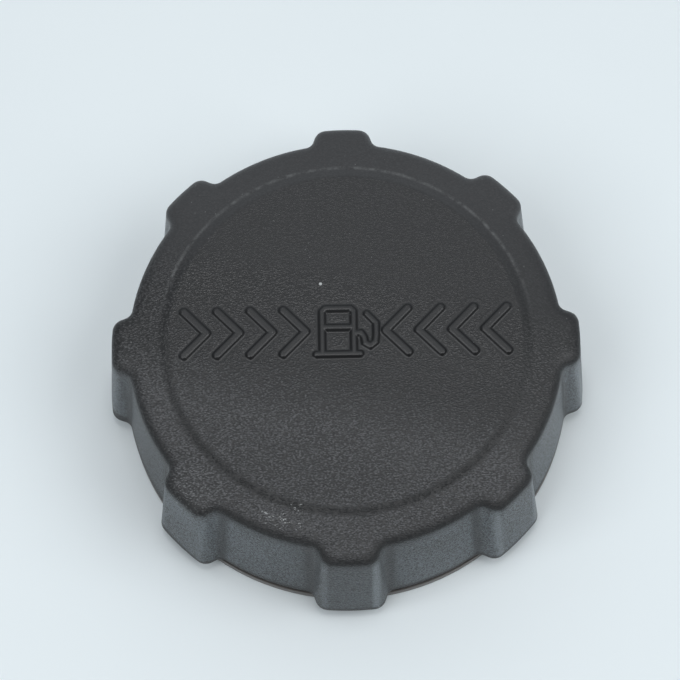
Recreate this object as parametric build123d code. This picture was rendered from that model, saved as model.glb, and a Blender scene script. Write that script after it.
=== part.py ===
"""Vented, ratcheting screw cap for the wide neck of a plastic fuel tank.

An eight-lug hand grip snaps over a threaded closure and drives it through a one-way ratchet,
so the cap can't be overtightened. The closure carries the neck gasket and a vent stack: a
sprung pressure valve that lifts off its seat, with a sprung vacuum valve hung through it.

Millimetres, +Z up. The origin is the centre of the closure's open rim, on the plane where the
cap rests when it is put down; the neck enters from below along +Z.
"""

import os
from math import cos, hypot, pi, radians, tan

from build123d import *

os.makedirs("parts", exist_ok=True)

# Fits and clearances
RUNNING_GAP = 0.3        # between pieces that turn or slide past each other
STOP_GAP = 0.1           # left when a valve reaches its stop
OPEN_EDGE_GAP = 1.5      # rim flange up to the grip's open edge
TUCK_GAP = 0.1           # between pieces of one body that are pushed or staked together
SEAL_GAP = 0.02          # left by a squeezed ring or press fit beside its wall
TOUCH = 0.01             # tolerance for picking out edges and corners by their place

# Closure: threaded wall, rim flange, snap rim and deck
NECK_BORE_RADIUS = 35.5  # root of the neck thread
NECK_THREAD_LENGTH = 11.7
NECK_LEAD_IN = 1.0
NECK_WALL = 2.5
FLANGE_INSET = 0.2       # rim flange inside the grip's skirt
FLANGE_THICKNESS = 1.7
GROOVE_DEPTH = 0.8
DECK_THICKNESS = 2.5
SNAP_RIM_HEIGHT = 1.2
SNAP_RIM_REACH = 2.0     # out from the neck wall
SNAP_RIM_SLOPE = 1.6     # height of the lead-in above the rim

# Neck gasket
GASKET_THICKNESS = 2.5
GASKET_WIDTH = 8.5
GASKET_TUCK = 0.5        # how far its edge reaches into the groove, past the bore
GASKET_SINK = 0.3        # its face stands this far above the groove's foot
LOCATING_RING_WIDTH = 1.2
LOCATING_RING_HEIGHT = 1.8

# Grip shell
SHELL_WALL = 2.5
ROOF_GAP = 3.0           # vent well up to the grip's roof
SKIRT_ROOM = 4.15        # neck wall to the inside of the skirt, at the open edge
DRAFT_ANGLE = 4.5
LUG_COUNT = 8
LUG_REACH = 3.35         # lug tips beyond the skirt
LUG_ROOT_WIDTH = 14.9    # where the flanks meet the skirt
FLANK_ANGLE = 19.5       # each flank's lean from the lug's centre line
LUG_TIP_ROUND = 2.6
LUG_ROOT_ROUND = 2.0
POCKET_ROUND = 0.6       # corners of the hollow inside each lug
SHOULDER_WIDTH = 8.25    # foot of the raised disc to the skirt
SHOULDER_DROP = 1.35     # raised disc down to the shoulder's outer edge
DISC_STEP = 0.4
DISC_SLOPE = 1.4         # width of the soft slope up to the disc
DISC_EDGE_ROUND = 3.0    # crest and foot of the slope
TOP_EDGE_ROUND = 1.6
OPEN_EDGE_ROUND = 0.6    # outer edge of the skirt and lugs
ROOF_THICKNESS = 2.6
ROOF_RIB_COUNT = 16
ROOF_RIB_THICKNESS = 1.4
ROOF_RIB_HEIGHT = 2.2

# Snap catches inside the skirt
CATCH_SPAN = 26.0        # degrees of skirt that one catch covers
CATCH_LIP = 1.1
CATCH_RAMP = 1.8
CATCH_GRIP = 1.2         # overlap of the catch under the snap rim

# Ratchet: saw teeth under the roof, sprung pawls on the deck
TOOTH_COUNT = 48
TOOTH_DEPTH = 1.7
TOOTH_LAND = 0.2         # flat left between teeth at their inner ends
TOOTH_RING_RADIUS = 30.0
TOOTH_RING_WIDTH = 5.0
TOOTH_RING_HEIGHT = 2.0
PAWL_COUNT = 6
PAWL_LENGTH = 13.0
PAWL_WIDTH = 3.8
PAWL_THICKNESS = 1.2
PAWL_SLOT_GAP = 0.7
RING_THICKNESS = 1.2
RING_INNER_RADIUS = 21.5
RING_BORDER = 1.5        # ring left outside the pawl slots
PEG_RADIUS = 1.3
PEG_HEAD_RADIUS = 2.0
PEG_HEAD_HEIGHT = 0.7

# Vent well in the middle of the deck
WELL_BORE_RADIUS = 12.8
WELL_WALL = 2.0
WELL_MOUTH_DROP = 1.3    # mouth below the deck's underside
WELL_ROOF = 1.6
VENT_HOLE_COUNT = 8
VENT_HOLE_RADIUS = 1.0
RIB_COUNT = 12
RIB_THICKNESS = 1.3
TOP_RIB_HEIGHT = 2.2

# Valve housing and splash baffle, pushed into the well from below
HOUSING_WALL = 2.2
HOUSING_RIM = 0.4        # housing above the pressure plate at full lift
HOUSING_FLANGE = 0.9
HOUSING_FLOOR = 0.8
ORIFICE_MARGIN = 1.4     # round the vacuum disc
SEAT_MARGIN = 1.4        # seat lip's centre line beyond the orifice
SEAT_WIDTH = 0.6
SEAT_HEIGHT = 0.6
O_RING_SECTION = 1.4
BAFFLE_THICKNESS = 0.7
BAFFLE_BORDER = 1.7
BAFFLE_HUB_RADIUS = 3.0
BAFFLE_SLOT_COUNT = 6
BAFFLE_SLOT_WIDTH = 1.5

# Pressure valve
PRESSURE_LIFT = 1.2
PLATE_THICKNESS = 1.2
PLATE_NOTCH_COUNT = 6
PLATE_NOTCH_SHARE = 0.67  # of the edge, the rest guides the plate
SEAL_THICKNESS = 0.6
PRESSURE_SEAL_WIDTH = 1.8
PRESSURE_WIRE = 0.9
PRESSURE_COIL_RADIUS = 6.6
PRESSURE_SPRING_LENGTH = 4.4
PRESSURE_TURNS = 3.25
COLLAR_WIDTH = 0.7
COLLAR_HEIGHT = 0.8

# Vacuum valve
VACUUM_DROP = 0.9
VACUUM_DISC_RADIUS = 4.8
VACUUM_DISC_THICKNESS = 0.8
VACUUM_SEAL_WIDTH = 1.0
STEM_RADIUS = 0.9
STEM_BORE_GAP = 0.25
STEM_BOSS_WALL = 0.85
STEM_TIP = 0.3           # stem left standing above its clip
CLIP_THICKNESS = 0.4
CLIP_RADIUS = 3.0
CLIP_SLOT_COUNT = 4
INLET_HOLE_COUNT = 6
INLET_HOLE_RADIUS = 0.45
VACUUM_WIRE = 0.35
VACUUM_COIL_RADIUS = 2.5
VACUUM_TURNS = 4.25

# Closure, gasket and grip: places that follow from the sizes above
NECK_OUTER_RADIUS = NECK_BORE_RADIUS + NECK_WALL
GROOVE_FOOT_Z = NECK_LEAD_IN + NECK_THREAD_LENGTH
GASKET_FACE_Z = GROOVE_FOOT_Z + GASKET_SINK
GASKET_OUTER_RADIUS = NECK_BORE_RADIUS + GASKET_TUCK
GASKET_INNER_RADIUS = GASKET_OUTER_RADIUS - GASKET_WIDTH
LOCATING_RING_OUTER = GASKET_INNER_RADIUS - RUNNING_GAP
LOCATING_RING_INNER = LOCATING_RING_OUTER - LOCATING_RING_WIDTH
DECK_UNDERSIDE_Z = GASKET_FACE_Z + GASKET_THICKNESS
DECK_TOP_Z = DECK_UNDERSIDE_Z + DECK_THICKNESS

SKIRT_RADIUS = NECK_OUTER_RADIUS + SKIRT_ROOM + SHELL_WALL
LUG_RADIUS = SKIRT_RADIUS + LUG_REACH
DISC_FOOT_RADIUS = SKIRT_RADIUS - SHOULDER_WIDTH
DISC_RADIUS = DISC_FOOT_RADIUS - DISC_SLOPE
FLANGE_RADIUS = SKIRT_RADIUS - FLANGE_INSET
SHELL_BOTTOM_Z = FLANGE_THICKNESS + OPEN_EDGE_GAP
CATCH_TOP_Z = SHELL_BOTTOM_Z + CATCH_RAMP + CATCH_LIP
SNAP_RIM_Z = CATCH_TOP_Z + RUNNING_GAP
SNAP_RIM_RADIUS = NECK_OUTER_RADIUS + SNAP_RIM_REACH
CATCH_INNER_RADIUS = SNAP_RIM_RADIUS - CATCH_GRIP

# Vent stack, from the well's mouth upwards
WELL_OUTER_RADIUS = WELL_BORE_RADIUS + WELL_WALL
WELL_MOUTH_Z = DECK_UNDERSIDE_Z - WELL_MOUTH_DROP
HOUSING_RADIUS = WELL_BORE_RADIUS - RUNNING_GAP
HOUSING_BORE_RADIUS = HOUSING_RADIUS - HOUSING_WALL
HOUSING_FLANGE_RADIUS = WELL_OUTER_RADIUS - TUCK_GAP
HOUSING_FOOT_Z = WELL_MOUTH_Z - HOUSING_FLANGE
BAFFLE_TOP_Z = HOUSING_FOOT_Z + BAFFLE_THICKNESS
SEAT_TOP_Z = BAFFLE_TOP_Z + RUNNING_GAP + VACUUM_DROP + VACUUM_DISC_THICKNESS
HOUSING_FLOOR_TOP_Z = SEAT_TOP_Z - SEAT_HEIGHT
ORIFICE_RADIUS = VACUUM_DISC_RADIUS + ORIFICE_MARGIN
SEAT_RADIUS = ORIFICE_RADIUS + SEAT_MARGIN
PLATE_UNDERSIDE_Z = SEAT_TOP_Z + SEAL_THICKNESS
PLATE_TOP_Z = PLATE_UNDERSIDE_Z + PLATE_THICKNESS
PLATE_RADIUS = HOUSING_BORE_RADIUS - RUNNING_GAP
COLLAR_OUTER_RADIUS = PRESSURE_COIL_RADIUS - PRESSURE_WIRE / 2 - RUNNING_GAP
WELL_ROOF_Z = PLATE_TOP_Z + PRESSURE_SPRING_LENGTH
VENT_HOLE_CIRCLE = (PRESSURE_COIL_RADIUS + PRESSURE_WIRE / 2 + WELL_BORE_RADIUS) / 2
STEM_TOP_Z = WELL_ROOF_Z - PRESSURE_LIFT - STOP_GAP
CLIP_Z = STEM_TOP_Z - STEM_TIP - CLIP_THICKNESS
STEM_BORE_RADIUS = STEM_RADIUS + STEM_BORE_GAP
STEM_BOSS_RADIUS = STEM_BORE_RADIUS + STEM_BOSS_WALL
STEM_BOSS_TOP_Z = CLIP_Z - VACUUM_DROP - STOP_GAP
VACUUM_SEAL_INNER = VACUUM_DISC_RADIUS - VACUUM_SEAL_WIDTH
HUB_RIB_RADIUS = WELL_OUTER_RADIUS + RIB_THICKNESS

# Grip's roof, over the vent well, and the ratchet under it
ROOF_UNDERSIDE_Z = WELL_ROOF_Z + WELL_ROOF + ROOF_GAP
DISC_TOP_Z = ROOF_UNDERSIDE_Z + ROOF_THICKNESS
TOOTH_INNER_RADIUS = TOOTH_RING_RADIUS - TOOTH_RING_WIDTH / 2
TOOTH_OUTER_RADIUS = TOOTH_RING_RADIUS + TOOTH_RING_WIDTH / 2
TOOTH_ROOT_Z = ROOF_UNDERSIDE_Z - TOOTH_RING_HEIGHT
TOOTH_LENGTH = 2 * pi * TOOTH_INNER_RADIUS / TOOTH_COUNT - TOOTH_LAND
PAWL_SLOT_WIDTH = PAWL_WIDTH + 2 * PAWL_SLOT_GAP
RING_OUTER_RADIUS = hypot(TOOTH_RING_RADIUS + PAWL_SLOT_WIDTH / 2, PAWL_LENGTH) + RING_BORDER
RING_TOP_Z = DECK_TOP_Z + RING_THICKNESS
PEG_CIRCLE_RADIUS = (RING_INNER_RADIUS + TOOTH_RING_RADIUS - PAWL_SLOT_WIDTH / 2) / 2


def disc(radius, low, high):
    """A plain disc between two heights."""
    return Pos(0, 0, low) * extrude(Circle(radius), amount=high - low)


def ring(inner, outer, low, high):
    """A plain washer between two radii and two heights."""
    return Pos(0, 0, low) * extrude(Circle(outer) - Circle(inner), amount=high - low)


def radial_rib(inner, outer, low, high, thickness):
    """A stiffening rib along +X between two curved walls, let into both."""
    bar = Pos((inner + outer) / 2, 0, (low + high) / 2) * Box(
        outer - inner + 2 * thickness, thickness, high - low
    )
    return bar & ring(inner - thickness / 2, outer + thickness / 2, low, high)


def around(shape, count, start=0.0):
    """Copies of a shape, evenly spaced about Z from a starting angle in degrees."""
    return [Rot(0, 0, start + 360 * i / count) * shape for i in range(count)]


def turned(points):
    """A solid of revolution about Z from a closed (radius, height) outline."""
    return revolve(Plane.XZ * make_face(Polyline(*points, close=True)), Axis.Z)


def skirt_radius(height):
    """Outer radius of the drafted skirt between the lugs, at a height."""
    return SKIRT_RADIUS - (height - SHELL_BOTTOM_Z) * tan(radians(DRAFT_ANGLE))


def shoulder_z(radius):
    """Height of the rim's sloping top face, at a radius."""
    fall = (SHOULDER_DROP - DISC_STEP) / (LUG_RADIUS - DISC_FOOT_RADIUS)
    return DISC_TOP_Z - DISC_STEP - (radius - DISC_FOOT_RADIUS) * fall


def lugged_outline(inset, tip_round, root_round):
    """The grip's plan at its open edge, moved inwards by a wall."""
    skirt = SKIRT_RADIUS - inset
    tip = LUG_RADIUS - inset
    depth = tip - skirt

    def half_width(x):
        lean = (x - SKIRT_RADIUS) * tan(radians(FLANK_ANGLE))
        return LUG_ROOT_WIDTH / 2 - lean - inset / cos(radians(FLANK_ANGLE))

    inner, outer = skirt - depth, tip + depth
    near, far = half_width(inner), half_width(outer)
    wedge = make_face(Polyline((inner, -near), (outer, -far), (outer, far), (inner, near), close=True))
    lug = wedge & Circle(tip)
    outline = Circle(skirt) + around(lug, LUG_COUNT)
    roots = outline.vertices().filter_by(lambda v: hypot(v.X, v.Y) < skirt + depth / 2)
    outline = fillet(roots, root_round)
    tips = outline.vertices().filter_by(lambda v: hypot(v.X, v.Y) > tip - TOUCH)
    return fillet(tips, tip_round)


def lugged_prism(wall, tip_round, root_round):
    """The lugged plan drawn up to the disc's height, closing in with the mould's draft."""
    drawn_in = (DISC_TOP_Z - SHELL_BOTTOM_Z) * tan(radians(DRAFT_ANGLE))
    foot = lugged_outline(wall, tip_round, root_round)
    head = lugged_outline(wall + drawn_in, tip_round, root_round)
    return loft([Pos(0, 0, SHELL_BOTTOM_Z) * foot.face(), Pos(0, 0, DISC_TOP_Z) * head.face()], ruled=True)


def crown(drop, reach):
    """Space under the stepped, sloping top, lowered by a roof thickness."""
    step_top = DISC_TOP_Z - drop
    return [
        (0, SHELL_BOTTOM_Z),
        (reach, SHELL_BOTTOM_Z),
        (reach, shoulder_z(reach) - drop),
        (DISC_FOOT_RADIUS, shoulder_z(DISC_FOOT_RADIUS) - drop),
        (DISC_RADIUS, step_top),
        (0, step_top),
    ]


def ratchet_tooth():
    """One saw tooth: upright face on the counter-clockwise side, ramp on the other."""
    low = TOOTH_ROOT_Z - TOOTH_DEPTH
    side = make_face(
        Polyline((0, TOOTH_ROOT_Z), (0, low), (-TOOTH_LENGTH, TOOTH_ROOT_Z), close=True)
    )
    tooth = extrude(Plane.YZ * side, amount=TOOTH_RING_WIDTH / 2, both=True)
    return Pos(TOOTH_RING_RADIUS, 0, 0) * tooth


def make_grip_shell():
    """Hand grip: one moulding with hollow lugs, a raised disc, teeth and snap catches."""
    reach = LUG_RADIUS + LUG_REACH
    body = lugged_prism(0, LUG_TIP_ROUND, LUG_ROOT_ROUND)
    body &= turned(crown(0, reach))
    rim_low = shoulder_z(LUG_RADIUS) - DISC_STEP
    inside_rim = (DISC_FOOT_RADIUS + skirt_radius(DISC_TOP_Z)) / 2
    rim = body.edges().filter_by(lambda e: (e @ 0).Z > rim_low and hypot((e @ 0).X, (e @ 0).Y) > inside_rim)
    body = fillet(rim, TOP_EDGE_ROUND)
    step = body.edges().filter_by(GeomType.CIRCLE).filter_by(
        lambda e: abs(hypot((e @ 0).X, (e @ 0).Y) - (DISC_RADIUS + DISC_FOOT_RADIUS) / 2) < DISC_SLOPE
    )
    body = fillet(step, DISC_EDGE_ROUND)
    foot = body.edges().filter_by(lambda e: e.center().Z < SHELL_BOTTOM_Z + TOUCH)
    body = fillet(foot, OPEN_EDGE_ROUND)

    cavity = lugged_prism(SHELL_WALL, POCKET_ROUND, LUG_ROOT_ROUND + POCKET_ROUND)
    body -= cavity & turned(crown(ROOF_THICKNESS, reach))

    teeth = around(ratchet_tooth(), TOOTH_COUNT)
    teeth.append(ring(TOOTH_INNER_RADIUS, TOOTH_OUTER_RADIUS, TOOTH_ROOT_Z, ROOF_UNDERSIDE_Z))

    rib_low = ROOF_UNDERSIDE_Z - ROOF_RIB_HEIGHT
    rib_reach = skirt_radius(ROOF_UNDERSIDE_Z) - SHELL_WALL
    inner_rib = radial_rib(HUB_RIB_RADIUS, TOOTH_INNER_RADIUS, rib_low, ROOF_UNDERSIDE_Z, ROOF_RIB_THICKNESS)
    outer_rib = radial_rib(TOOTH_OUTER_RADIUS, rib_reach, rib_low, ROOF_UNDERSIDE_Z, ROOF_RIB_THICKNESS)
    between_ribs = 180 / ROOF_RIB_COUNT
    ribs = around(inner_rib, ROOF_RIB_COUNT, between_ribs) + around(outer_rib, ROOF_RIB_COUNT, between_ribs)

    back = skirt_radius(CATCH_TOP_Z) - SHELL_WALL / 2
    catch_foot = CATCH_TOP_Z - CATCH_LIP
    catch_section = make_face(
        Polyline(
            (back, catch_foot - CATCH_RAMP),
            (CATCH_INNER_RADIUS + CATCH_RAMP, catch_foot - CATCH_RAMP),
            (CATCH_INNER_RADIUS, catch_foot),
            (CATCH_INNER_RADIUS, CATCH_TOP_Z),
            (back, CATCH_TOP_Z),
            close=True,
        )
    )
    catch = revolve(Plane.XZ * catch_section, Axis.Z, revolution_arc=CATCH_SPAN)
    catches = around(catch, LUG_COUNT, 180 / LUG_COUNT - CATCH_SPAN / 2)
    return body + teeth + ribs + catches


def make_threaded_closure():
    """Inner cup: neck wall, rim flange, snap rim, deck with the vent well, ribs and pegs."""
    deck_radius = skirt_radius(DECK_TOP_Z) - SHELL_WALL - RUNNING_GAP
    deck_foot = DECK_UNDERSIDE_Z + DECK_THICKNESS / 2
    snap_top = SNAP_RIM_Z + SNAP_RIM_HEIGHT
    groove_radius = NECK_BORE_RADIUS + GROOVE_DEPTH
    body = turned(
        [
            (NECK_BORE_RADIUS + NECK_LEAD_IN, 0),
            (FLANGE_RADIUS, 0),
            (FLANGE_RADIUS, FLANGE_THICKNESS),
            (NECK_OUTER_RADIUS, FLANGE_THICKNESS),
            (NECK_OUTER_RADIUS, SNAP_RIM_Z),
            (SNAP_RIM_RADIUS, SNAP_RIM_Z),
            (SNAP_RIM_RADIUS, snap_top),
            (NECK_OUTER_RADIUS, snap_top + SNAP_RIM_SLOPE),
            (NECK_OUTER_RADIUS, deck_foot),
            (deck_radius, deck_foot),
            (deck_radius, DECK_TOP_Z),
            (WELL_OUTER_RADIUS, DECK_TOP_Z),
            (WELL_OUTER_RADIUS, WELL_ROOF_Z + WELL_ROOF),
            (0, WELL_ROOF_Z + WELL_ROOF),
            (0, WELL_ROOF_Z),
            (WELL_BORE_RADIUS, WELL_ROOF_Z),
            (WELL_BORE_RADIUS, WELL_MOUTH_Z),
            (WELL_OUTER_RADIUS, WELL_MOUTH_Z),
            (WELL_OUTER_RADIUS, DECK_UNDERSIDE_Z),
            (groove_radius, DECK_UNDERSIDE_Z),
            (groove_radius, GROOVE_FOOT_Z),
            (NECK_BORE_RADIUS, GROOVE_FOOT_Z),
            (NECK_BORE_RADIUS, NECK_LEAD_IN),
        ]
    )
    body += ring(
        LOCATING_RING_INNER,
        LOCATING_RING_OUTER,
        DECK_UNDERSIDE_Z - LOCATING_RING_HEIGHT,
        DECK_UNDERSIDE_Z,
    )
    body += ring(
        COLLAR_OUTER_RADIUS - COLLAR_WIDTH,
        COLLAR_OUTER_RADIUS,
        WELL_ROOF_Z - COLLAR_HEIGHT,
        WELL_ROOF_Z,
    )

    top_reach = RING_INNER_RADIUS - RUNNING_GAP - RIB_THICKNESS / 2
    top_rib = radial_rib(
        WELL_OUTER_RADIUS, top_reach, DECK_TOP_Z, DECK_TOP_Z + TOP_RIB_HEIGHT, RIB_THICKNESS
    )
    under_rib = radial_rib(
        WELL_OUTER_RADIUS, LOCATING_RING_INNER, WELL_MOUTH_Z, DECK_UNDERSIDE_Z, RIB_THICKNESS
    )
    body += around(top_rib, RIB_COUNT) + around(under_rib, RIB_COUNT)

    shank = disc(PEG_RADIUS, DECK_TOP_Z, RING_TOP_Z)
    head = disc(PEG_HEAD_RADIUS, RING_TOP_Z, RING_TOP_Z + PEG_HEAD_HEIGHT)
    peg = Pos(PEG_CIRCLE_RADIUS, 0, 0) * (shank + head)
    body += around(peg, PAWL_COUNT, 180 / PAWL_COUNT)

    vent = Pos(VENT_HOLE_CIRCLE, 0, WELL_ROOF_Z) * Cylinder(VENT_HOLE_RADIUS, 3 * WELL_ROOF)
    return body - around(vent, VENT_HOLE_COUNT, 180 / VENT_HOLE_COUNT)


def make_ratchet_ring():
    """Acetal ring staked to the deck, with sprung pawls that stand up into the teeth."""
    body = ring(RING_INNER_RADIUS, RING_OUTER_RADIUS, DECK_TOP_Z, RING_TOP_Z)
    slot_length = PAWL_LENGTH + PAWL_SLOT_GAP
    slot = Pos(TOOTH_RING_RADIUS, slot_length / 2 - PAWL_SLOT_GAP, DECK_TOP_Z) * Box(
        PAWL_SLOT_WIDTH, slot_length, 4 * RING_THICKNESS
    )
    nose_top = TOOTH_ROOT_Z - RUNNING_GAP
    nose_foot = nose_top - TOOTH_DEPTH
    slope_end = RUNNING_GAP + TOOTH_LENGTH
    root = PAWL_LENGTH + RING_THICKNESS
    side = make_face(
        Polyline(
            (RUNNING_GAP, nose_top),
            (slope_end, nose_foot),
            (PAWL_LENGTH, RING_TOP_Z),
            (root, RING_TOP_Z),
            (root, DECK_TOP_Z),
            (PAWL_LENGTH - RING_THICKNESS, DECK_TOP_Z),
            (slope_end, nose_foot - PAWL_THICKNESS),
            (RUNNING_GAP, nose_foot - PAWL_THICKNESS),
            close=True,
        )
    )
    pawl = Pos(TOOTH_RING_RADIUS, 0, 0) * extrude(Plane.YZ * side, amount=PAWL_WIDTH / 2, both=True)
    hole = Pos(PEG_CIRCLE_RADIUS, 0, DECK_TOP_Z) * Cylinder(PEG_RADIUS + TUCK_GAP, 4 * RING_THICKNESS)
    body -= around(slot, PAWL_COUNT) + around(hole, PAWL_COUNT, 180 / PAWL_COUNT)
    return body + around(pawl, PAWL_COUNT)


def make_neck_gasket():
    """Flat rubber ring, its outer edge tucked into the groove above the thread."""
    return ring(GASKET_INNER_RADIUS, GASKET_OUTER_RADIUS, GASKET_FACE_Z, DECK_UNDERSIDE_Z)


def make_valve_housing():
    """Cup welded to the well's mouth: flange, O-ring groove, orifice and seat lip."""
    top = PLATE_TOP_Z + PRESSURE_LIFT + HOUSING_RIM
    body = turned(
        [
            (HOUSING_BORE_RADIUS, HOUSING_FOOT_Z),
            (HOUSING_FLANGE_RADIUS, HOUSING_FOOT_Z),
            (HOUSING_FLANGE_RADIUS, WELL_MOUTH_Z),
            (HOUSING_RADIUS, WELL_MOUTH_Z),
            (HOUSING_RADIUS, top),
            (HOUSING_BORE_RADIUS, top),
            (HOUSING_BORE_RADIUS, HOUSING_FLOOR_TOP_Z),
            (SEAT_RADIUS + SEAT_WIDTH / 2, HOUSING_FLOOR_TOP_Z),
            (SEAT_RADIUS + SEAT_WIDTH / 2, SEAT_TOP_Z),
            (SEAT_RADIUS - SEAT_WIDTH / 2, SEAT_TOP_Z),
            (SEAT_RADIUS - SEAT_WIDTH / 2, HOUSING_FLOOR_TOP_Z),
            (ORIFICE_RADIUS, HOUSING_FLOOR_TOP_Z),
            (ORIFICE_RADIUS, HOUSING_FLOOR_TOP_Z - HOUSING_FLOOR),
            (HOUSING_BORE_RADIUS, HOUSING_FLOOR_TOP_Z - HOUSING_FLOOR),
        ]
    )
    groove_floor = WELL_BORE_RADIUS - O_RING_SECTION
    half_groove = O_RING_SECTION / 2 + TUCK_GAP
    return body - ring(groove_floor, WELL_BORE_RADIUS, PLATE_TOP_Z - half_groove, PLATE_TOP_Z + half_groove)


def make_housing_o_ring():
    """Round-section seal between the housing and the well."""
    section = O_RING_SECTION / 2 - SEAL_GAP
    return Pos(0, 0, PLATE_TOP_Z) * Torus(WELL_BORE_RADIUS - O_RING_SECTION / 2, section)


def make_splash_baffle():
    """Slotted disc pressed into the housing's foot, which keeps surging fuel off the valves."""
    outer = HOUSING_BORE_RADIUS - SEAL_GAP
    body = disc(outer, HOUSING_FOOT_Z, BAFFLE_TOP_Z)
    slot_run = outer - BAFFLE_BORDER - BAFFLE_HUB_RADIUS
    slot = Pos(BAFFLE_HUB_RADIUS + slot_run / 2, 0, HOUSING_FOOT_Z) * extrude(
        SlotOverall(slot_run, BAFFLE_SLOT_WIDTH), amount=BAFFLE_THICKNESS
    )
    return body - around(slot, BAFFLE_SLOT_COUNT)


def make_pressure_plate():
    """Valve plate with gas notches round its edge, spring collar and a guide for the stem."""
    body = ring(STEM_BORE_RADIUS, PLATE_RADIUS, PLATE_UNDERSIDE_Z, PLATE_TOP_Z)
    body += ring(
        COLLAR_OUTER_RADIUS - COLLAR_WIDTH, COLLAR_OUTER_RADIUS, PLATE_TOP_Z, PLATE_TOP_Z + COLLAR_HEIGHT
    )
    body += ring(STEM_BORE_RADIUS, STEM_BOSS_RADIUS, PLATE_TOP_Z, STEM_BOSS_TOP_Z)

    notch_foot = SEAT_RADIUS + PRESSURE_SEAL_WIDTH / 2 + RUNNING_GAP
    notch_section = make_face(
        Polyline(
            (notch_foot, PLATE_UNDERSIDE_Z),
            (HOUSING_RADIUS, PLATE_UNDERSIDE_Z),
            (HOUSING_RADIUS, PLATE_TOP_Z),
            (notch_foot, PLATE_TOP_Z),
            close=True,
        )
    )
    notch_arc = 360 / PLATE_NOTCH_COUNT * PLATE_NOTCH_SHARE
    notch = revolve(Plane.XZ * notch_section, Axis.Z, revolution_arc=notch_arc)
    inlet_circle = (STEM_BOSS_RADIUS + VACUUM_SEAL_INNER) / 2
    inlet = Pos(inlet_circle, 0, PLATE_TOP_Z) * Cylinder(INLET_HOLE_RADIUS, 3 * PLATE_THICKNESS)
    return body - around(notch, PLATE_NOTCH_COUNT) - around(inlet, INLET_HOLE_COUNT)


def make_pressure_seal():
    """Rubber ring bonded under the plate, over the housing's seat lip."""
    half = PRESSURE_SEAL_WIDTH / 2
    return ring(SEAT_RADIUS - half, SEAT_RADIUS + half, SEAT_TOP_Z, PLATE_UNDERSIDE_Z)


def coil_spring(mean_radius, wire, turns, low, high):
    """Compression spring with ends ground flat between two heights."""
    rise = high - low
    path = Helix(pitch=rise / turns, height=rise, radius=mean_radius)
    coil = sweep(Plane(path @ 0, z_dir=path % 0) * Circle(wire / 2), path=path, is_frenet=True)
    ground = ring(mean_radius - wire, mean_radius + wire, low, high)
    return (Pos(0, 0, low) * coil) & ground


def make_pressure_spring():
    """Spring between the well's roof and the pressure plate."""
    return coil_spring(PRESSURE_COIL_RADIUS, PRESSURE_WIRE, PRESSURE_TURNS, PLATE_TOP_Z, WELL_ROOF_Z)


def make_vacuum_valve():
    """Disc and stem turned in one piece, hung through the pressure plate."""
    head = disc(VACUUM_DISC_RADIUS, SEAT_TOP_Z - VACUUM_DISC_THICKNESS, SEAT_TOP_Z)
    return head + disc(STEM_RADIUS, SEAT_TOP_Z, STEM_TOP_Z)


def make_vacuum_seal():
    """Rubber ring on the vacuum disc, closing the plate's inlet holes."""
    return ring(VACUUM_SEAL_INNER, VACUUM_DISC_RADIUS, SEAT_TOP_Z, PLATE_UNDERSIDE_Z)


def make_vacuum_spring():
    """Light spring that holds the vacuum disc up against the plate."""
    return coil_spring(VACUUM_COIL_RADIUS, VACUUM_WIRE, VACUUM_TURNS, PLATE_TOP_Z, CLIP_Z)


def make_stem_clip():
    """Push-on star washer that keeps the vacuum spring on the stem."""
    body = ring(STEM_RADIUS, CLIP_RADIUS, CLIP_Z, CLIP_Z + CLIP_THICKNESS)
    slot = Pos(STEM_RADIUS, 0, CLIP_Z) * Box(2 * STEM_RADIUS, CLIP_THICKNESS, 4 * CLIP_THICKNESS)
    return body - around(slot, CLIP_SLOT_COUNT, 180 / CLIP_SLOT_COUNT)


PIECES = {
    "grip_shell": make_grip_shell,
    "threaded_closure": make_threaded_closure,
    "ratchet_ring": make_ratchet_ring,
    "neck_gasket": make_neck_gasket,
    "valve_housing": make_valve_housing,
    "housing_o_ring": make_housing_o_ring,
    "splash_baffle": make_splash_baffle,
    "pressure_plate": make_pressure_plate,
    "pressure_seal": make_pressure_seal,
    "pressure_spring": make_pressure_spring,
    "vacuum_valve": make_vacuum_valve,
    "vacuum_seal": make_vacuum_seal,
    "vacuum_spring": make_vacuum_spring,
    "stem_clip": make_stem_clip,
}

for name, make in PIECES.items():
    export_step(make(), f"parts/{name}.step")
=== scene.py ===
"""Fuel filler cap with a ratcheting grip, vent valves in its stem and a rubber neck gasket."""

import math

import bpy
import numpy as np
from mathutils import Matrix, Vector


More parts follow.
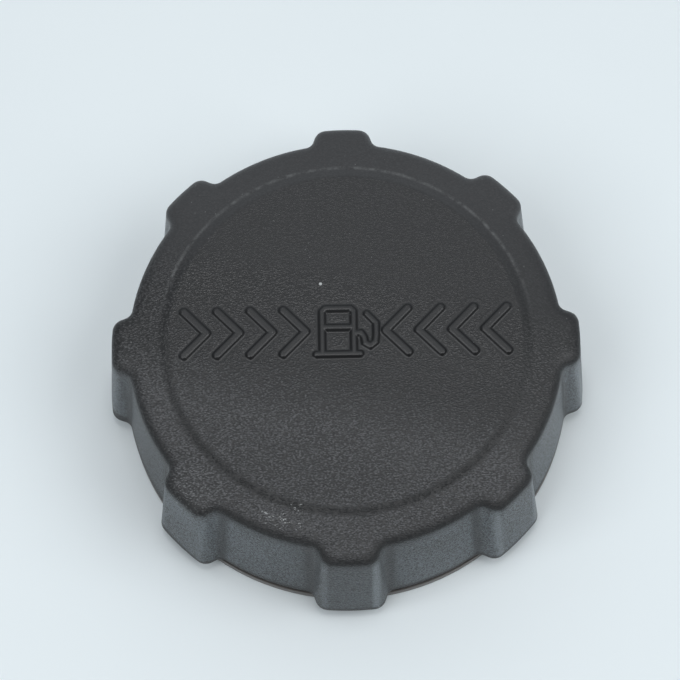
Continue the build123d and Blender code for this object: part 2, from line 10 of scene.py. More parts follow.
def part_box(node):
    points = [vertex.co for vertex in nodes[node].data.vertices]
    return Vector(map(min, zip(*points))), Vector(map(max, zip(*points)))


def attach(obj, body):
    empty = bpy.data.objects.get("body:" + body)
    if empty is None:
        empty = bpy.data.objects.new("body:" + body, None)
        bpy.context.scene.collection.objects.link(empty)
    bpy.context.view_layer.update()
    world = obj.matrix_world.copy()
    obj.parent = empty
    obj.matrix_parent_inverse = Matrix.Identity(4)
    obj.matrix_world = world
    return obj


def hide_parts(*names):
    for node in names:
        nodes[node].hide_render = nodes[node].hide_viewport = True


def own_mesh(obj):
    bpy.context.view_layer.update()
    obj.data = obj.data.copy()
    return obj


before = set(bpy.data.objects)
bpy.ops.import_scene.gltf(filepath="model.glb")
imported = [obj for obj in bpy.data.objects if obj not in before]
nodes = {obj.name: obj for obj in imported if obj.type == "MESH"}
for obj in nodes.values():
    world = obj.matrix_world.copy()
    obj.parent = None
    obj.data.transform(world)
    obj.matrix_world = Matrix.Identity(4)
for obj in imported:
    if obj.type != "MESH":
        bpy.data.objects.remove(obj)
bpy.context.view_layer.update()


# ---------------------------------------------------------------- threaded closure
# The half that screws onto the filler neck: flange, neck, deck and vent well in one injection
# moulding of glass-filled nylon. Satin black, where glass fibres near the skin show as pale flecks.

CLOSURE_BLACK = "#2f2e2e"
CLOSURE_FIBRE = "#4a4948"
FLANGE_HIGHLIGHT = "#77726e"
FLANGE_HIGHLIGHT_RADIUS = 0.0440   # beyond it the flange's edge is paled by a painted highlight
FLANGE_HIGHLIGHT_BLEND = 0.0003
FIBRE_LENGTH = 0.0012     # a 0.3 mm fibre is too fine to show, so it is drawn four times as coarse
FIBRE_SQUEEZE = 3.0       # fibres lie along the flow, so they are shorter up the wall
FIBRE_DEPTH = 0.00002
FLOW_WIDTH = 0.006        # folds of the melt's front on the skin


def linear(code):
    """An sRGB hex colour as linear RGBA."""
    parts = [int(code[i:i + 2], 16) / 255 for i in (1, 3, 5)]
    return [p / 12.92 if p <= 0.04045 else ((p + 0.055) / 1.055) ** 2.4 for p in parts] + [1.0]


def connect(material, node, inputs):
    """Sets a node's inputs, each to a value, to an output or to another node's first output."""
    for socket, value in inputs.items():
        if isinstance(value, bpy.types.Node):
            value = value.outputs[0]
        if isinstance(value, bpy.types.NodeSocket):
            material.node_tree.links.new(value, node.inputs[socket])
        else:
            node.inputs[socket].default_value = value


def add(material, kind, inputs=None, **settings):
    """One shader node with its settings and inputs."""
    node = material.node_tree.nodes.new("ShaderNode" + kind)
    for name, value in settings.items():
        setattr(node, name, value)
    connect(material, node, inputs or {})
    return node


def start_material(name, colour, roughness, metallic=0.0, ior=None):
    """A material with its plain sockets set, and its shader."""
    material = bpy.data.materials.new(name)
    material.use_nodes = True
    shader = material.node_tree.nodes["Principled BSDF"]
    connect(material, shader, {"Base Color": linear(colour), "Roughness": roughness, "Metallic": metallic})
    if ior is not None:
        shader.inputs["IOR"].default_value = ior
    return material, shader


def dress(material, *names):
    """Gives CAD nodes a material in every slot."""
    for name in names:
        slots = nodes[name].data.materials
        for i in range(len(slots)):
            slots[i] = material


def distance_off_axis(material, place):
    """How far a point is from the cap's axis."""
    sideways = add(material, "VectorMath", {0: place, 1: (1.0, 1.0, 0.0)}, operation="MULTIPLY")
    return add(material, "VectorMath", {0: sideways}, operation="LENGTH").outputs["Value"]


def glass_filled_nylon():
    """Moulded nylon with glass: satin, a little uneven, flecked with fibre, and with a painted highlight on
    the flange's edge.
    """
    material, shader = start_material("glass_filled_nylon_moulded", CLOSURE_BLACK, 0.42, ior=1.53)
    place = add(material, "TexCoord").outputs["Object"]
    squeezed = add(material, "Mapping", {"Vector": place, "Scale": (1.0, 1.0, FIBRE_SQUEEZE)})
    fibres = add(material, "TexNoise", {"Vector": squeezed, "Scale": 1 / FIBRE_LENGTH, "Detail": 2.0})
    flecks = add(material, "MapRange", {"Value": fibres, "From Min": 0.60, "From Max": 0.72})
    flecked = add(material, "MixRGB", {
        "Fac": flecks, "Color1": linear(CLOSURE_BLACK), "Color2": linear(CLOSURE_FIBRE)})
    # Painted highlight: the flange's outer edge is mixed towards a pale grey.
    flange_shine = add(material, "MapRange", {
        "Value": distance_off_axis(material, place),
        "From Min": FLANGE_HIGHLIGHT_RADIUS, "From Max": FLANGE_HIGHLIGHT_RADIUS + FLANGE_HIGHLIGHT_BLEND, "To Max": 0.8})
    colour = add(material, "MixRGB", {"Fac": flange_shine, "Color1": flecked, "Color2": linear(FLANGE_HIGHLIGHT)})
    flow = add(material, "TexNoise", {
        "Vector": place, "Scale": 1 / FLOW_WIDTH, "Detail": 3.0, "Distortion": 1.2})
    sheen = add(material, "MapRange", {"Value": flow, "To Min": 0.34, "To Max": 0.52})
    skin = add(material, "Bump", {"Height": fibres, "Strength": 0.5, "Distance": FIBRE_DEPTH})
    connect(material, shader, {"Base Color": colour, "Roughness": sheen, "Normal": skin})
    return material


closure_nylon = glass_filled_nylon()
dress(closure_nylon, "threaded_closure")


# ---------------------------------------------------------------- neck thread
# Moulded with the closure, in the same nylon: one rounded trapezoid ridge of a coarse pitch, let
# into the bore's wall and run out to nearly nothing at both ends, so that it starts easily.

THREAD_PITCH = 0.0040
THREAD_START = 0.0039
THREAD_TURNS = 1.65
THREAD_ROOT = 0.0355
THREAD_SECTION = (        # inward from the root, and along the axis
    (-0.00030, -0.00130), (0.00000, -0.00120), (0.00098, -0.00074), (0.00128, -0.00058),
    (0.00140, -0.00034), (0.00140, 0.00034), (0.00128, 0.00058), (0.00098, 0.00074),
    (0.00000, 0.00120), (-0.00030, 0.00130),
)
RUN_OUT_TURN = math.radians(28)
RUN_OUT_REACH = 0.04      # share of the ridge's reach and width that is left at its very ends
RUN_OUT_WIDTH = 0.45
THREAD_STEPS = 220


def piece(name, vertices, faces, material, smooth=True):
    """A new mesh piece in the object's own frame."""
    mesh = bpy.data.meshes.new(name)
    mesh.from_pydata(vertices, [], faces)
    mesh.validate()
    if smooth:
        mesh.shade_smooth()
    mesh.materials.append(material)
    made = bpy.data.objects.new(name, mesh)
    bpy.context.scene.collection.objects.link(made)
    return made


def thread_ridge():
    """The helical ridge, section by section, with capped ends."""
    width = len(THREAD_SECTION)
    whole_turn = 2 * math.pi * THREAD_TURNS
    vertices = []
    for step in range(THREAD_STEPS + 1):
        turned = whole_turn * step / THREAD_STEPS
        grown = min(1.0, min(turned, whole_turn - turned) / RUN_OUT_TURN)
        grown = RUN_OUT_REACH + (1 - RUN_OUT_REACH) * grown * grown * (3 - 2 * grown)
        widened = RUN_OUT_WIDTH + (1 - RUN_OUT_WIDTH) * grown
        for inward, along in THREAD_SECTION:
            radius = THREAD_ROOT - (inward * grown if inward > 0 else inward)
            height = THREAD_START + THREAD_PITCH * turned / (2 * math.pi) + along * widened
            vertices.append((radius * math.cos(turned), radius * math.sin(turned), height))
    faces = [tuple(range(width))[::-1], tuple(range(THREAD_STEPS * width, (THREAD_STEPS + 1) * width))]
    for step in range(THREAD_STEPS):
        for i in range(width):
            a = step * width + i
            b = step * width + (i + 1) % width
            faces.append((a, b, b + width, a + width))
    return piece("neck_thread_ridge", vertices, faces, closure_nylon)


neck_thread = thread_ridge()
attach(neck_thread, "closure")


# ---------------------------------------------------------------- ratchet ring
# The sprung pawls that click over the grip's teeth, staked to the deck. Natural acetal, moulded
# and left undyed: waxy off-white, slightly translucent, with a smooth low-gloss skin.

ACETAL_CREAM = "#e4e0d2"
ACETAL_SHADE = "#d6d1bf"
ACETAL_CLOUD = 0.007      # soft clouds in the tone
ACETAL_SKIN = 0.0006
ACETAL_SKIN_DEPTH = 0.00001
ACETAL_GLOW = (0.0012, 0.0010, 0.0008)   # how far red, green and blue light get into it


def moulded_acetal():
    """Undyed acetal: light enters a little way, and the tone clouds gently."""
    material, shader = start_material("natural_acetal_moulded", ACETAL_CREAM, 0.38, ior=1.48)
    place = add(material, "TexCoord").outputs["Object"]
    cloud = add(material, "TexNoise", {"Vector": place, "Scale": 1 / ACETAL_CLOUD, "Detail": 3.0})
    colour = add(material, "MixRGB", {
        "Fac": cloud, "Color1": linear(ACETAL_CREAM), "Color2": linear(ACETAL_SHADE)})
    skin = add(material, "TexNoise", {"Vector": place, "Scale": 1 / ACETAL_SKIN, "Detail": 2.0})
    bump = add(material, "Bump", {"Height": skin, "Strength": 0.4, "Distance": ACETAL_SKIN_DEPTH})
    connect(material, shader, {
        "Base Color": colour, "Normal": bump,
        "Subsurface Weight": 0.25, "Subsurface Radius": ACETAL_GLOW, "Subsurface Scale": 1.0})
    return material


dress(moulded_acetal(), "ratchet_ring")


# ---------------------------------------------------------------- neck gasket
# Flat washer that seals on the end of the filler neck, pushed into the closure's groove. Nitrile
# rubber, cut from calendered sheet and bagged in talc: dull black, with a grey bloom in patches.

NITRILE_BLACK = "#19191a"
NITRILE_BLOOM = "#5e5d5a"
BLOOM_PATCH = 0.009
CALENDER_GRAIN = 0.0005   # real calender marks are about 0.1 mm, drawn five times as coarse
CALENDER_DEPTH = 0.00003


def calendered_nitrile():
    """Rubber sheet: no gloss, fine grain, talc lying in patches."""
    material, shader = start_material("nitrile_rubber_calendered", NITRILE_BLACK, 0.78, ior=1.52)
    place = add(material, "TexCoord").outputs["Object"]
    patches = add(material, "TexNoise", {
        "Vector": place, "Scale": 1 / BLOOM_PATCH, "Detail": 5.0, "Roughness": 0.6})
    talc = add(material, "MapRange", {
        "Value": patches, "From Min": 0.48, "From Max": 0.74, "To Max": 0.55})
    colour = add(material, "MixRGB", {
        "Fac": talc, "Color1": linear(NITRILE_BLACK), "Color2": linear(NITRILE_BLOOM)})
    grain = add(material, "TexNoise", {"Vector": place, "Scale": 1 / CALENDER_GRAIN, "Detail": 2.0})
    bump = add(material, "Bump", {"Height": grain, "Strength": 0.7, "Distance": CALENDER_DEPTH})
    connect(material, shader, {"Base Color": colour, "Normal": bump})
    return material


dress(calendered_nitrile(), "neck_gasket")


# ---------------------------------------------------------------- valve housing, baffle and plate
# The housing snaps into the vent well, and holds the splash baffle below and the pressure plate
# inside. All are unfilled nylon, moulded smooth. The housing is dyed green, to tell it from others.

HOUSING_GREEN = "#3f7a52"
HOUSING_DEEP = "#2f6443"
PLATE_BLACK = "#262729"
STREAK_WIDTH = 0.004
STREAK_STRETCH = 0.3      # streaks run up the walls
PEEL_WIDTH = 0.0008       # a faint orange peel
PEEL_DEPTH = 0.00001


def smooth_nylon(name, light, deep, roughness):
    """Unfilled nylon: even colour with soft flow streaks and a slight orange peel."""
    material, shader = start_material(name, light, roughness, ior=1.53)
    place = add(material, "TexCoord").outputs["Object"]
    stretched = add(material, "Mapping", {"Vector": place, "Scale": (1.0, 1.0, STREAK_STRETCH)})
    streaks = add(material, "TexNoise", {
        "Vector": stretched, "Scale": 1 / STREAK_WIDTH, "Detail": 3.0, "Distortion": 0.8})
    colour = add(material, "MixRGB", {"Fac": streaks, "Color1": linear(light), "Color2": linear(deep)})
    sheen = add(material, "MapRange", {
        "Value": streaks, "To Min": roughness - 0.06, "To Max": roughness + 0.08})
    peel = add(material, "TexNoise", {"Vector": place, "Scale": 1 / PEEL_WIDTH, "Detail": 1.0})
    bump = add(material, "Bump", {"Height": peel, "Strength": 0.4, "Distance": PEEL_DEPTH})
    connect(material, shader, {"Base Color": colour, "Roughness": sheen, "Normal": bump})
    return material


dress(smooth_nylon("green_nylon_moulded", HOUSING_GREEN, HOUSING_DEEP, 0.36), "valve_housing")
black_nylon = smooth_nylon("black_nylon_moulded", PLATE_BLACK, CLOSURE_BLACK, 0.40)
dress(black_nylon, "splash_baffle", "pressure_plate")


# ---------------------------------------------------------------- valve seals and O-ring
# The O-ring seals the housing in its well, and each valve has a ring of its own. Fluorocarbon
# rubber, moulded and post-cured: dark brown, smooth, with a faint oily sheen and hardly any dust.

FLUORO_BROWN = "#4a2c20"
FLUORO_DARK = "#34201a"
FLUORO_PATCH = 0.003
FLUORO_SKIN = 0.0004
FLUORO_SKIN_DEPTH = 0.00001


def cured_fluoro_rubber():
    """Post-cured seal rubber: a soft sheen that varies over a few millimetres."""
    material, shader = start_material("fluoro_rubber_post_cured", FLUORO_BROWN, 0.46, ior=1.41)
    place = add(material, "TexCoord").outputs["Object"]
    patches = add(material, "TexNoise", {"Vector": place, "Scale": 1 / FLUORO_PATCH, "Detail": 3.0})
    colour = add(material, "MixRGB", {
        "Fac": patches, "Color1": linear(FLUORO_BROWN), "Color2": linear(FLUORO_DARK)})
    sheen = add(material, "MapRange", {"Value": patches, "To Min": 0.38, "To Max": 0.58})
    skin = add(material, "TexNoise", {"Vector": place, "Scale": 1 / FLUORO_SKIN, "Detail": 2.0})
    bump = add(material, "Bump", {"Height": skin, "Strength": 0.5, "Distance": FLUORO_SKIN_DEPTH})
    connect(material, shader, {"Base Color": colour, "Roughness": sheen, "Normal": bump})
    return material


dress(cured_fluoro_rubber(), "housing_o_ring", "pressure_seal", "vacuum_seal")


# ---------------------------------------------------------------- springs and stem clip
# Stainless spring steel, cold drawn into the wire of both coils and rolled for the push-on clip:
# bright, with fine die marks that break up its highlight.

STEEL_BRIGHT = "#c3c4c2"
STEEL_DULL = "#9a9b99"
DIE_MARK = 0.00025        # real marks are about 0.02 mm apart, drawn coarser so that they show
DIE_MARK_DEPTH = 0.00001


def drawn_spring_steel():
    """Drawn wire: the marks follow the coil, so they are stretched round the axis."""
    material, shader = start_material("spring_steel_drawn", STEEL_BRIGHT, 0.28, metallic=1.0)
    place = add(material, "TexCoord").outputs["Object"]
    height = add(material, "SeparateXYZ", {"Vector": place}).outputs["Z"]
    round_axis = add(material, "CombineXYZ", {"X": distance_off_axis(material, place), "Z": height})
    marks = add(material, "TexNoise", {"Vector": round_axis, "Scale": 1 / DIE_MARK, "Detail": 2.0})
    colour = add(material, "MixRGB", {
        "Fac": marks, "Color1": linear(STEEL_BRIGHT), "Color2": linear(STEEL_DULL)})
    sheen = add(material, "MapRange", {"Value": marks, "To Min": 0.18, "To Max": 0.40})
    bump = add(material, "Bump", {"Height": marks, "Strength": 0.4, "Distance": DIE_MARK_DEPTH})
    connect(material, shader, {"Base Color": colour, "Roughness": sheen, "Normal": bump})
    return material


def closing_coil(name, node):
    """A coil that stands for a spring's node."""
    coil = bpy.data.objects.new(name, nodes[node].data.copy())
    bpy.context.scene.collection.objects.link(coil)
    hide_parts(node)
    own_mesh(coil)
    return coil


dress(drawn_spring_steel(), "pressure_spring", "vacuum_spring", "stem_clip")
pressure_coil = closing_coil("pressure_coil", "pressure_spring")
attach(pressure_coil, "closure")
vacuum_coil = closing_coil("vacuum_coil", "vacuum_spring")
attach(vacuum_coil, "pressure_valve")


# ---------------------------------------------------------------- vacuum valve
# Disc and stem turned in one from brass bar, hung through the pressure plate. Bright yellow with
# concentric tool marks on the disc, dulled in patches by fuel vapour.

BRASS_BRIGHT = "#c9a75a"
BRASS_TARNISH = "#8f7540"
TOOL_MARK = 0.00040       # the tool's feed is about 0.1 mm a turn, drawn four times as coarse
TOOL_MARK_DEPTH = 0.00001
WAVE_PHASE = 20.0         # radians that the ring pattern runs through in one unit
TARNISH_PATCH = 0.002


def turned_brass():
    """Turned brass: fine rings about the axis, with patchy tarnish."""
    material, shader = start_material("brass_turned", BRASS_BRIGHT, 0.26, metallic=1.0)
    place = add(material, "TexCoord").outputs["Object"]
    rings = add(material, "TexWave", {
        "Vector": place, "Scale": 2 * math.pi / (WAVE_PHASE * TOOL_MARK), "Distortion": 0.4, "Detail": 1.0},
        wave_type="RINGS", rings_direction="Z")
    patches = add(material, "TexNoise", {"Vector": place, "Scale": 1 / TARNISH_PATCH, "Detail": 4.0})
    tarnish = add(material, "MapRange", {"Value": patches, "From Min": 0.42, "From Max": 0.70})
    colour = add(material, "MixRGB", {
        "Fac": tarnish, "Color1": linear(BRASS_BRIGHT), "Color2": linear(BRASS_TARNISH)})
    sheen = add(material, "MapRange", {"Value": patches, "To Min": 0.20, "To Max": 0.42})
    bump = add(material, "Bump", {
        "Height": rings.outputs["Fac"], "Strength": 0.5, "Distance": TOOL_MARK_DEPTH})
    connect(material, shader, {"Base Color": colour, "Roughness": sheen, "Normal": bump})
    return material


dress(turned_brass(), "vacuum_valve")


# ---------------------------------------------------------------- grip shell
# The lugged grip that snaps over the closure and turns on it, in one polypropylene moulding. The
# cavity half of its mould is etched with a leather grain and the core half is smooth, so only
# outward faces are grained.

# Each pair gives the places between which a change of the skin sets in: where it starts, and where
# it is complete.

GRAIN_VALLEY = "#19191a"
GRAIN_CROWN = "#606062"
OPEN_EDGE_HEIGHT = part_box("grip_shell")[0].z
DISC_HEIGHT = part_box("grip_shell")[1].z
DISC_SLOPE_RADIUS = 0.0357   # middle of the slope round the disc
DISC_FOOT_RADIUS = 0.0369
SIDE_WEIGHT = 400.0          # what a face's tilt away from the axis counts for, by its distance in metres

GRAIN_CELL = 0.00034         # width of one grain pebble
GRAIN_STRETCH = 1.7          # the hide pattern runs along the row of marks
GRAIN_DEPTH = 0.000095
CRISP_SIDE = (-0.22, -0.975, 0.0)   # the grain is deepest, and a painted highlight strongest, on this side, in front
CRISP = (-0.014, 0.028)      # the grain deepens towards that side, and the crowns' painted contrast with it
PALE_FRONT = (0.008, 0.019)  # and a painted highlight pales the whole skin
PALE_BACK = (0.004, 0.032)   # which a painted reflection also does towards the back
DARK_FRONT = (0.010, -0.020)   # but painted shade keeps the slope and the rolled edge black in front
SLOPE_DARK = (0.0013, 0.0004)  # this near the middle of the slope
SHOULDER = (DISC_FOOT_RADIUS - 0.0008, DISC_FOOT_RADIUS + 0.0002)
BLOTCH = 0.016

EDGE_SOFTNESS = 0.0034       # the polished mould leaves the rim's edge softer than its radius
RIM = (0.0384, 0.0394)       # from the axis
RIM_BELOW = (0.0070, 0.0045)   # below the disc

EDGE_SHADE_LEFT = (-0.030, -0.041)  # painted shade along the open edge, taller on the left
EDGE_SHADE_HEIGHT = 0.0010
EDGE_SHADE_TALLER = 0.0016
EDGE_SHADE_FADE = 0.0012


def moulded_outside(material, place, normal):
    """1 on faces from the grained half of the mould, and 0 on those from the smooth half."""
    away = add(material, "VectorMath", {
        0: place, 1: (SIDE_WEIGHT, SIDE_WEIGHT, 0.0), 2: (0.0, 0.0, 1.0)}, operation="MULTIPLY_ADD")
    outward = add(material, "VectorMath", {0: away, 1: normal}, operation="DOT_PRODUCT").outputs["Value"]
    return add(material, "MapRange", {"Value": outward, "From Min": -0.1, "From Max": 0.5})


def grain_left(material, etched, frontward):
    """How deep the grain is: none beside the raised marks, and less towards the back. This also sets the
    crowns' colour contrast, which is stronger in front as painted highlight.
    """
    faded = add(material, "Attribute", attribute_name="grain_fade").outputs["Fac"]
    moulded = add(material, "MapRange", {"Value": faded, "To Min": etched, "To Max": 0.0})
    crisp = add(material, "MapRange", {
        "Value": frontward, "From Min": CRISP[0], "From Max": CRISP[1], "To Min": 0.12, "To Max": 1.20})
    return add(material, "Math", {0: moulded, 1: crisp}, operation="MULTIPLY")


def hide_pattern(material, place):
    """Pebbles with sharp valleys between them, bent so that they look like hide, and uneven ground."""
    hide = add(material, "Mapping", {"Vector": place, "Scale": (1 / GRAIN_STRETCH, 1.0, 1.0)})
    bent = add(material, "TexNoise", {"Vector": hide, "Scale": 0.5 / GRAIN_CELL, "Detail": 2.0})
    shifted = add(material, "VectorMath", {
        0: bent.outputs["Color"], 1: (GRAIN_CELL,) * 3, 2: hide}, operation="MULTIPLY_ADD")
    pebbles = add(material, "TexVoronoi", {"Vector": shifted, "Scale": 1 / GRAIN_CELL}, feature="F1")
    crowns = add(material, "MapRange", {
        "Value": pebbles, "From Min": 0.72, "From Max": 0.05}, interpolation_type="SMOOTHSTEP")
    uneven = add(material, "TexNoise", {"Vector": hide, "Scale": 1.4 / GRAIN_CELL, "Detail": 3.0})
    return crowns, uneven


def softened_rim(material, off_axis, height):
    """The direction of the skin, with the rim's edge rolled over softly."""
    near_rim = add(material, "MapRange", {
        "Value": off_axis, "From Min": RIM[0], "From Max": RIM[1], "To Max": EDGE_SOFTNESS})
    rolled = add(material, "MapRange", {
        "Value": height, "To Max": near_rim,
        "From Min": DISC_HEIGHT - RIM_BELOW[0], "From Max": DISC_HEIGHT - RIM_BELOW[1]})
    return add(material, "Bevel", {"Radius": rolled}, samples=6)


def above_edge_shade(material, x, height):
    """0 on the band of painted shade along the open edge, and 1 above it."""
    shade_top = add(material, "MapRange", {
        "Value": x, "From Min": EDGE_SHADE_LEFT[0], "From Max": EDGE_SHADE_LEFT[1],
        "To Min": OPEN_EDGE_HEIGHT + EDGE_SHADE_HEIGHT, "To Max": OPEN_EDGE_HEIGHT + EDGE_SHADE_HEIGHT + EDGE_SHADE_TALLER})
    shade_end = add(material, "Math", {0: shade_top, 1: EDGE_SHADE_FADE}, operation="ADD")
    return add(material, "MapRange", {"Value": height, "From Min": shade_top, "From Max": shade_end})


def rim_and_slope(material, skin, off_axis):
    """1 on the rolled edge, and nearly so on the slope round the disc, where painted shade and painted
    reflection lie.
    """
    level = add(material, "SeparateXYZ", {"Vector": skin}).outputs["Z"]
    rolled_over = add(material, "MapRange", {"Value": level, "From Min": 0.985, "From Max": 0.88})
    off_slope = add(material, "Math", {0: off_axis, 1: DISC_SLOPE_RADIUS}, operation="SUBTRACT")
    off_slope = add(material, "Math", {0: off_slope}, operation="ABSOLUTE")
    on_slope = add(material, "MapRange", {
        "Value": off_slope, "From Min": SLOPE_DARK[0], "From Max": SLOPE_DARK[1], "To Max": 0.92})
    return add(material, "Math", {0: rolled_over, 1: on_slope}, operation="MAXIMUM")


def rubbed_relief(material, crowns, uneven, blotches, grained):
    """How much paler than the mean the crowns are rubbed, and how much darker the valleys stay."""
    levelled = add(material, "Math", {0: crowns, 1: 0.66, 2: -1.177}, operation="MULTIPLY_ADD")
    relief = add(material, "Math", {0: uneven, 1: 1.76, 2: levelled}, operation="MULTIPLY_ADD")
    patchy = add(material, "Math", {0: blotches, 1: 0.6}, operation="ADD")
    relief = add(material, "Math", {0: relief, 1: patchy}, operation="MULTIPLY")
    return add(material, "Math", {0: relief, 1: grained}, operation="MULTIPLY")


def skin_tone(material, relief, frontward, y, off_axis, rim_and_slope_band, clear_of_edge_shade):
    """The skin between black and grey: a painted highlight pales it in front, a painted reflection at the
    back, and it is paler on the shoulder, more so at the back.
    """
    # Painted highlight: the skin pales towards the front-left.
    front_highlight = add(material, "MapRange", {
        "Value": frontward, "To Min": 0.065, "To Max": 0.415,
        "From Min": PALE_FRONT[0], "From Max": PALE_FRONT[1]})
    # Painted reflection: the skin pales towards the back, and the shoulder round the disc with it.
    behind = add(material, "MapRange", {"Value": y, "From Min": PALE_BACK[0], "From Max": PALE_BACK[1]})
    shoulder_tone = add(material, "MapRange", {"Value": behind, "To Min": 0.06, "To Max": 0.132})
    shoulder = add(material, "MapRange", {
        "Value": off_axis, "From Min": SHOULDER[0], "From Max": SHOULDER[1], "To Max": shoulder_tone})
    tone = add(material, "Math", {0: relief, 1: front_highlight}, operation="ADD")
    tone = add(material, "Math", {0: behind, 1: 0.08, 2: tone}, operation="MULTIPLY_ADD")
    tone = add(material, "Math", {0: tone, 1: shoulder}, operation="ADD")

    # Painted shade keeps the slope and the rolled edge black in front, and a painted reflection pales them at
    # the back.
    front_shade = add(material, "MapRange", {
        "Value": y, "From Min": DARK_FRONT[0], "From Max": DARK_FRONT[1], "To Max": rim_and_slope_band})
    tone = add(material, "MapRange", {"Value": front_shade, "To Min": tone, "To Max": 0.0})
    # Painted shade along the open edge takes the paleness off.
    tone = add(material, "Math", {0: tone, 1: clear_of_edge_shade}, operation="MULTIPLY")
    back_edge_reflection = add(material, "Math", {0: rim_and_slope_band, 1: behind}, operation="MULTIPLY")
    tone = add(material, "Math", {0: back_edge_reflection, 1: 0.17, 2: tone}, operation="MULTIPLY_ADD")
    return add(material, "MixRGB", {
        "Fac": tone, "Color1": linear(GRAIN_VALLEY), "Color2": linear(GRAIN_CROWN)})


# The upright sides get a speckled painted reflection of the bright table, which stops short of the top.
# The corners of the lugs get painted highlights, and their roots painted shade.

GRIP_SIDE_LIT = "#686f74"
CORNER_HIGHLIGHT = "#8b9296"
SIDE_LIT_SPECKLE = 0.00034
SIDE_LIT_BELOW = (0.0008, 0.0055)   # below the disc
SIDE_LIT_ASIDE = (0.005, 0.022)   # off the middle, to both sides, where the painted reflection gets stronger
SKIRT_LEFT_SHADE = (-0.029, -0.038)   # and on the left of the skirt, where painted shade weakens it
LUG_COUNT = 8
LUG_REACH = (0.0447, 0.0457)   # from the axis, where the skirt ends and the lugs begin
LUG_CORNER = 0.0051          # from a lug's middle to its corners, and to its roots
LUG_ROOT = 0.0078
CORNER_LINE = (0.0011, 0.0003)   # off the corner, and off the root
ROOT_LINE = (0.0016, 0.0004)
CORNER_LIT_RIGHT = (-0.006, 0.004)   # the corners' painted highlight is stronger on the right


def upright_sides(material, normal, height, clear_of_edge_shade):
    """1 on the sides, and 0 on the top, the rolled edge and the band of painted shade along the open edge."""
    tilt = add(material, "SeparateXYZ", {"Vector": normal}).outputs["Z"]
    tilt = add(material, "Math", {0: tilt}, operation="ABSOLUTE")
    steep = add(material, "MapRange", {"Value": tilt, "From Min": 0.45, "From Max": 0.12})
    below_edge = add(material, "MapRange", {
        "Value": height, "To Max": steep,
        "From Min": DISC_HEIGHT - SIDE_LIT_BELOW[0], "From Max": DISC_HEIGHT - SIDE_LIT_BELOW[1]})
    return add(material, "Math", {0: below_edge, 1: clear_of_edge_shade}, operation="MULTIPLY")


def beside_lug(material, x, y, off_axis):
    """How far a point is from the middle of the nearest lug, along the skirt."""
    turned = add(material, "Math", {0: y, 1: x}, operation="ARCTAN2")
    turned = add(material, "Math", {0: turned, 1: math.pi / LUG_COUNT}, operation="PINGPONG")
    share = add(material, "Math", {0: turned}, operation="SINE")
    return add(material, "Math", {0: share, 1: off_axis}, operation="MULTIPLY")


def lug_line(material, beside, line, width, strength):
    """A soft line up the side, at a distance from the lug's middle."""
    gap = add(material, "Math", {0: beside, 1: line}, operation="SUBTRACT")
    gap = add(material, "Math", {0: gap}, operation="ABSOLUTE")
    return add(material, "MapRange", {
        "Value": gap, "From Min": width[0], "From Max": width[1], "To Max": strength})


def lit_sides(material, colour, place, x, y, off_axis, blotches, etched, upright):
    """The colour with a painted reflection on the upright sides, painted highlights on the lug corners and
    painted shade at the lug roots.
    """
    # Painted reflection of the bright table on the upright sides, speckled.
    side_speckle = add(material, "TexNoise", {"Vector": place, "Scale": 1 / SIDE_LIT_SPECKLE, "Detail": 2.0})
    side_speckle = add(material, "Math", {0: blotches, 1: 0.3, 2: side_speckle}, operation="MULTIPLY_ADD")
    side_speckle = add(material, "MapRange", {"Value": side_speckle, "From Min": 0.54, "From Max": 0.76})
    to_side = add(material, "Math", {0: x}, operation="ABSOLUTE")
    strength = add(material, "MapRange", {
        "Value": to_side, "To Min": 0.62, "To Max": 1.30,
        "From Min": SIDE_LIT_ASIDE[0], "From Max": SIDE_LIT_ASIDE[1]})
    side_light = add(material, "Math", {0: upright, 1: etched}, operation="MULTIPLY")
    side_light = add(material, "Math", {0: side_light, 1: side_speckle}, operation="MULTIPLY")
    side_light = add(material, "Math", {0: side_light, 1: strength}, operation="MULTIPLY")

    # Painted shade: the reflection is taken off the lug roots and off the skirt on the left.
    beside = beside_lug(material, x, y, off_axis)
    on_lug = add(material, "MapRange", {
        "Value": off_axis, "From Min": LUG_REACH[0], "From Max": LUG_REACH[1]})
    root = lug_line(material, beside, LUG_ROOT, ROOT_LINE, 0.7)
    left_shade = add(material, "MapRange", {
        "Value": x, "From Min": SKIRT_LEFT_SHADE[0], "From Max": SKIRT_LEFT_SHADE[1], "To Max": 0.5})
    for shade in (root, left_shade):
        off_lugs = add(material, "MapRange", {"Value": on_lug, "To Min": shade, "To Max": 0.0})
        side_light = add(material, "MapRange", {"Value": off_lugs, "To Min": side_light, "To Max": 0.0})

    # Painted highlights on the lug corners, strongest on the right.
    corner = lug_line(material, beside, LUG_CORNER, CORNER_LINE, on_lug)
    corner = add(material, "Math", {0: corner, 1: upright}, operation="MULTIPLY")
    speckled = add(material, "MapRange", {"Value": side_speckle, "To Min": 0.5, "To Max": 0.9})
    corner = add(material, "Math", {0: corner, 1: speckled}, operation="MULTIPLY")
    to_right = add(material, "MapRange", {
        "Value": x, "From Min": CORNER_LIT_RIGHT[0], "From Max": CORNER_LIT_RIGHT[1], "To Min": 0.35, "To Max": 0.9})
    corner = add(material, "Math", {0: corner, 1: to_right}, operation="MULTIPLY")
    side_light = add(material, "Math", {0: corner, 1: 0.5, 2: side_light}, operation="MULTIPLY_ADD")
    corner_lit = add(material, "Math", {0: corner, 1: 0.7}, operation="MULTIPLY")
    colour = add(material, "MixRGB", {"Fac": side_light, "Color1": colour, "Color2": linear(GRIP_SIDE_LIT)})
    return add(material, "MixRGB", {"Fac": corner_lit, "Color1": colour, "Color2": linear(CORNER_HIGHLIGHT)})


